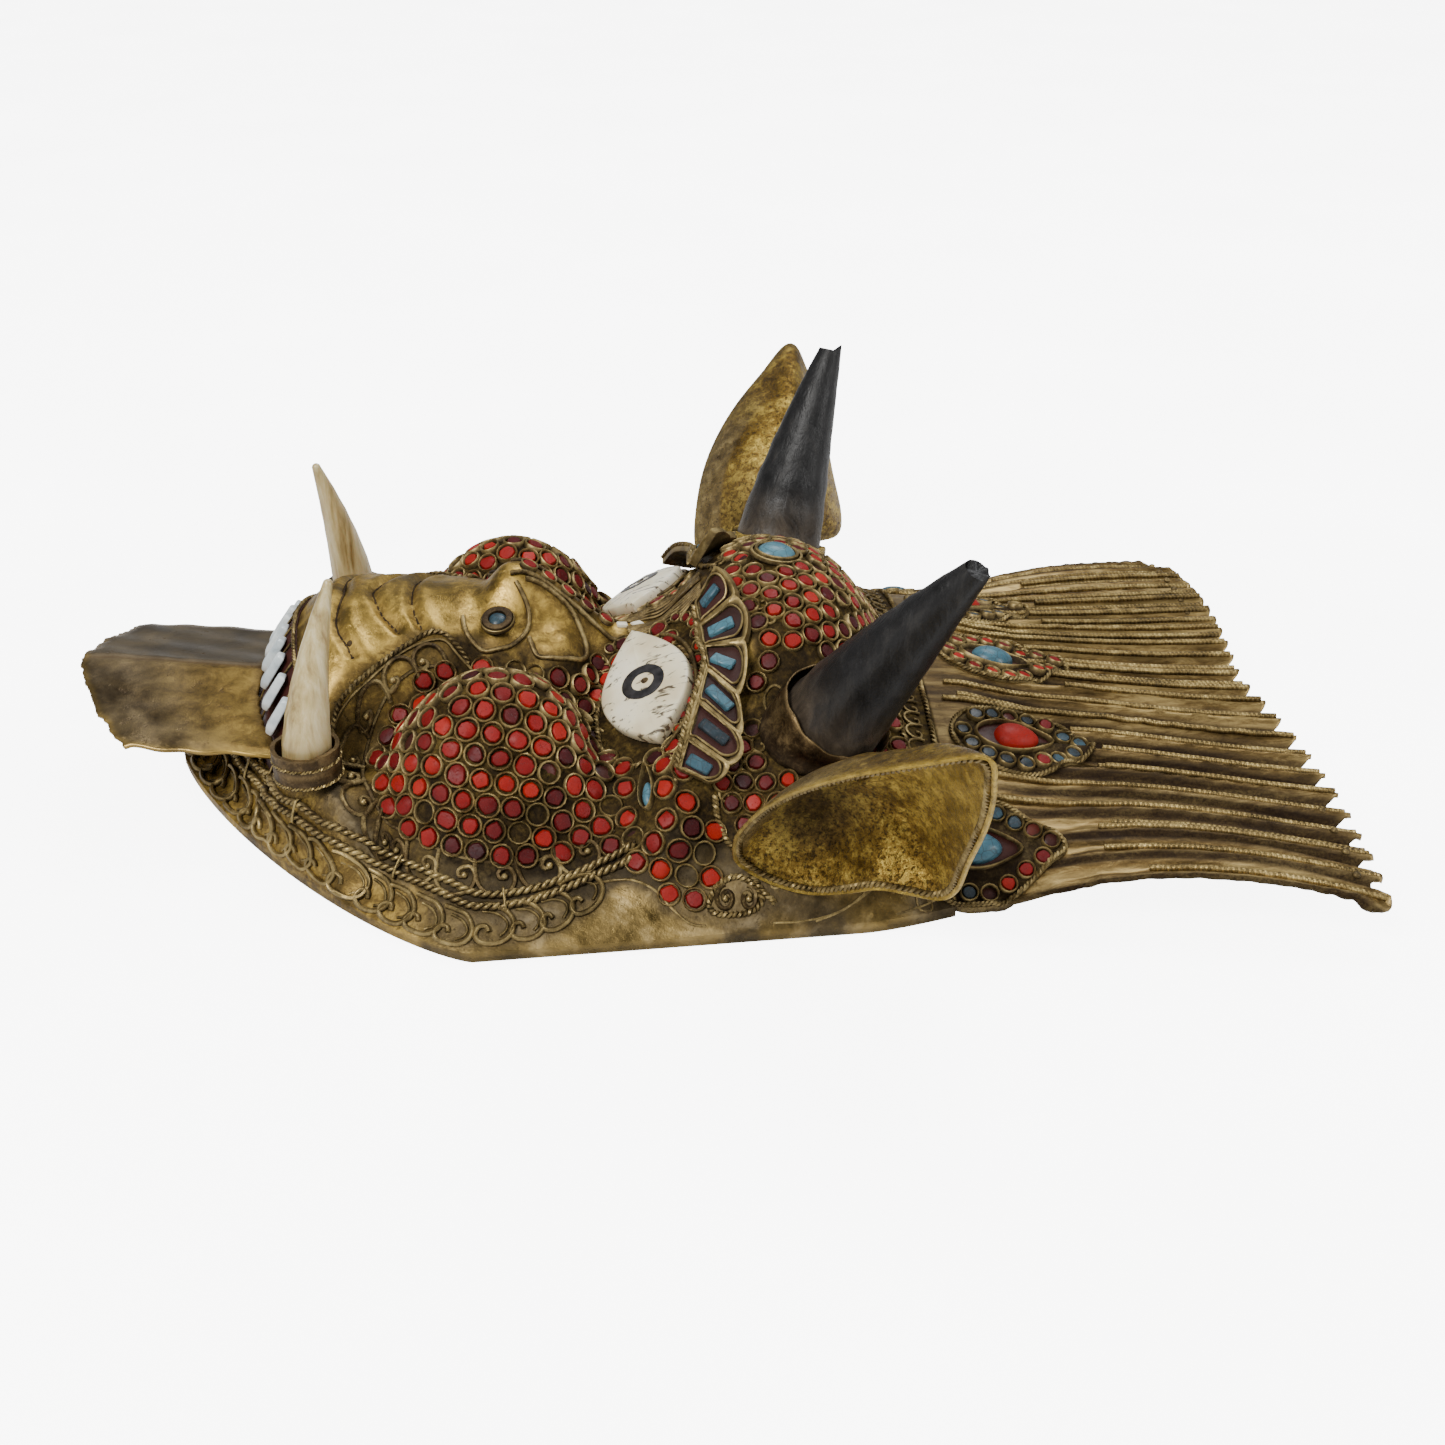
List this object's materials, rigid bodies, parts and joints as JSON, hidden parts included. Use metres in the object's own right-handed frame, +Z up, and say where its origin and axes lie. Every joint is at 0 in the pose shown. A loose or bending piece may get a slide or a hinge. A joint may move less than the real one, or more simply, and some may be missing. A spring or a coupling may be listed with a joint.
{
  "type": "ritual mask",
  "caption": "Ritual beast mask of raised sheet brass with horns, scoop ears, tusks, a long tongue, bone eyes and a swept back fan of hair, lying on its back with the face up.",
  "frame": {"origin": "middle of the mask's bounding box, on the floor it lies on", "axes": "+X from the tongue to the ends of the hair, -Y towards the mask's own left side, +Z up out of the face"},
  "size_m": [0.3188, 0.2678, 0.0979],
  "materials": {
    "aged_brass": "aged and rubbed, dark in the hollows",
    "hair_brass": "aged, dark brown between the strands",
    "ear_brass": "yellow, speckled with tarnish",
    "tongue_brass": "dull brown, golden below",
    "bone": "polished bone with dark grain",
    "dark_horn": "matte black horn, worn grey at the root",
    "tooth_white": "pale blue grey stone bars",
    "turquoise": "smooth blue stone",
    "coral": "smooth red stone, worn"
  },
  "bodies": {
    "root": {"brow_left": "aged_brass", "brow_right": "aged_brass", "ear_left": "ear_brass", "ear_right": "ear_brass", "eye_left": "bone", "eye_right": "bone", "face_shell": "aged_brass", "forehead_stone": "turquoise", "hair_fan": "hair_brass", "horn_collar_left": "aged_brass", "horn_collar_right": "aged_brass", "horn_left": "dark_horn", "horn_right": "dark_horn", "leaf_setting_left_1": "coral", "leaf_setting_left_2": "coral", "leaf_setting_middle": "coral", "leaf_setting_right_1": "coral", "leaf_setting_right_2": "coral", "nostril_stone_left": "turquoise", "nostril_stone_right": "turquoise", "tongue": "tongue_brass", "tooth_01": "tooth_white", "tooth_02": "tooth_white", "tooth_03": "tooth_white", "tooth_04": "tooth_white", "tooth_05": "tooth_white", "tooth_06": "tooth_white", "tooth_07": "tooth_white", "tooth_08": "tooth_white", "tooth_09": "tooth_white", "tooth_10": "tooth_white", "tusk_cup_left": "aged_brass", "tusk_cup_right": "aged_brass", "tusk_left": "bone", "tusk_right": "bone"}
  },
  "joints": []
}
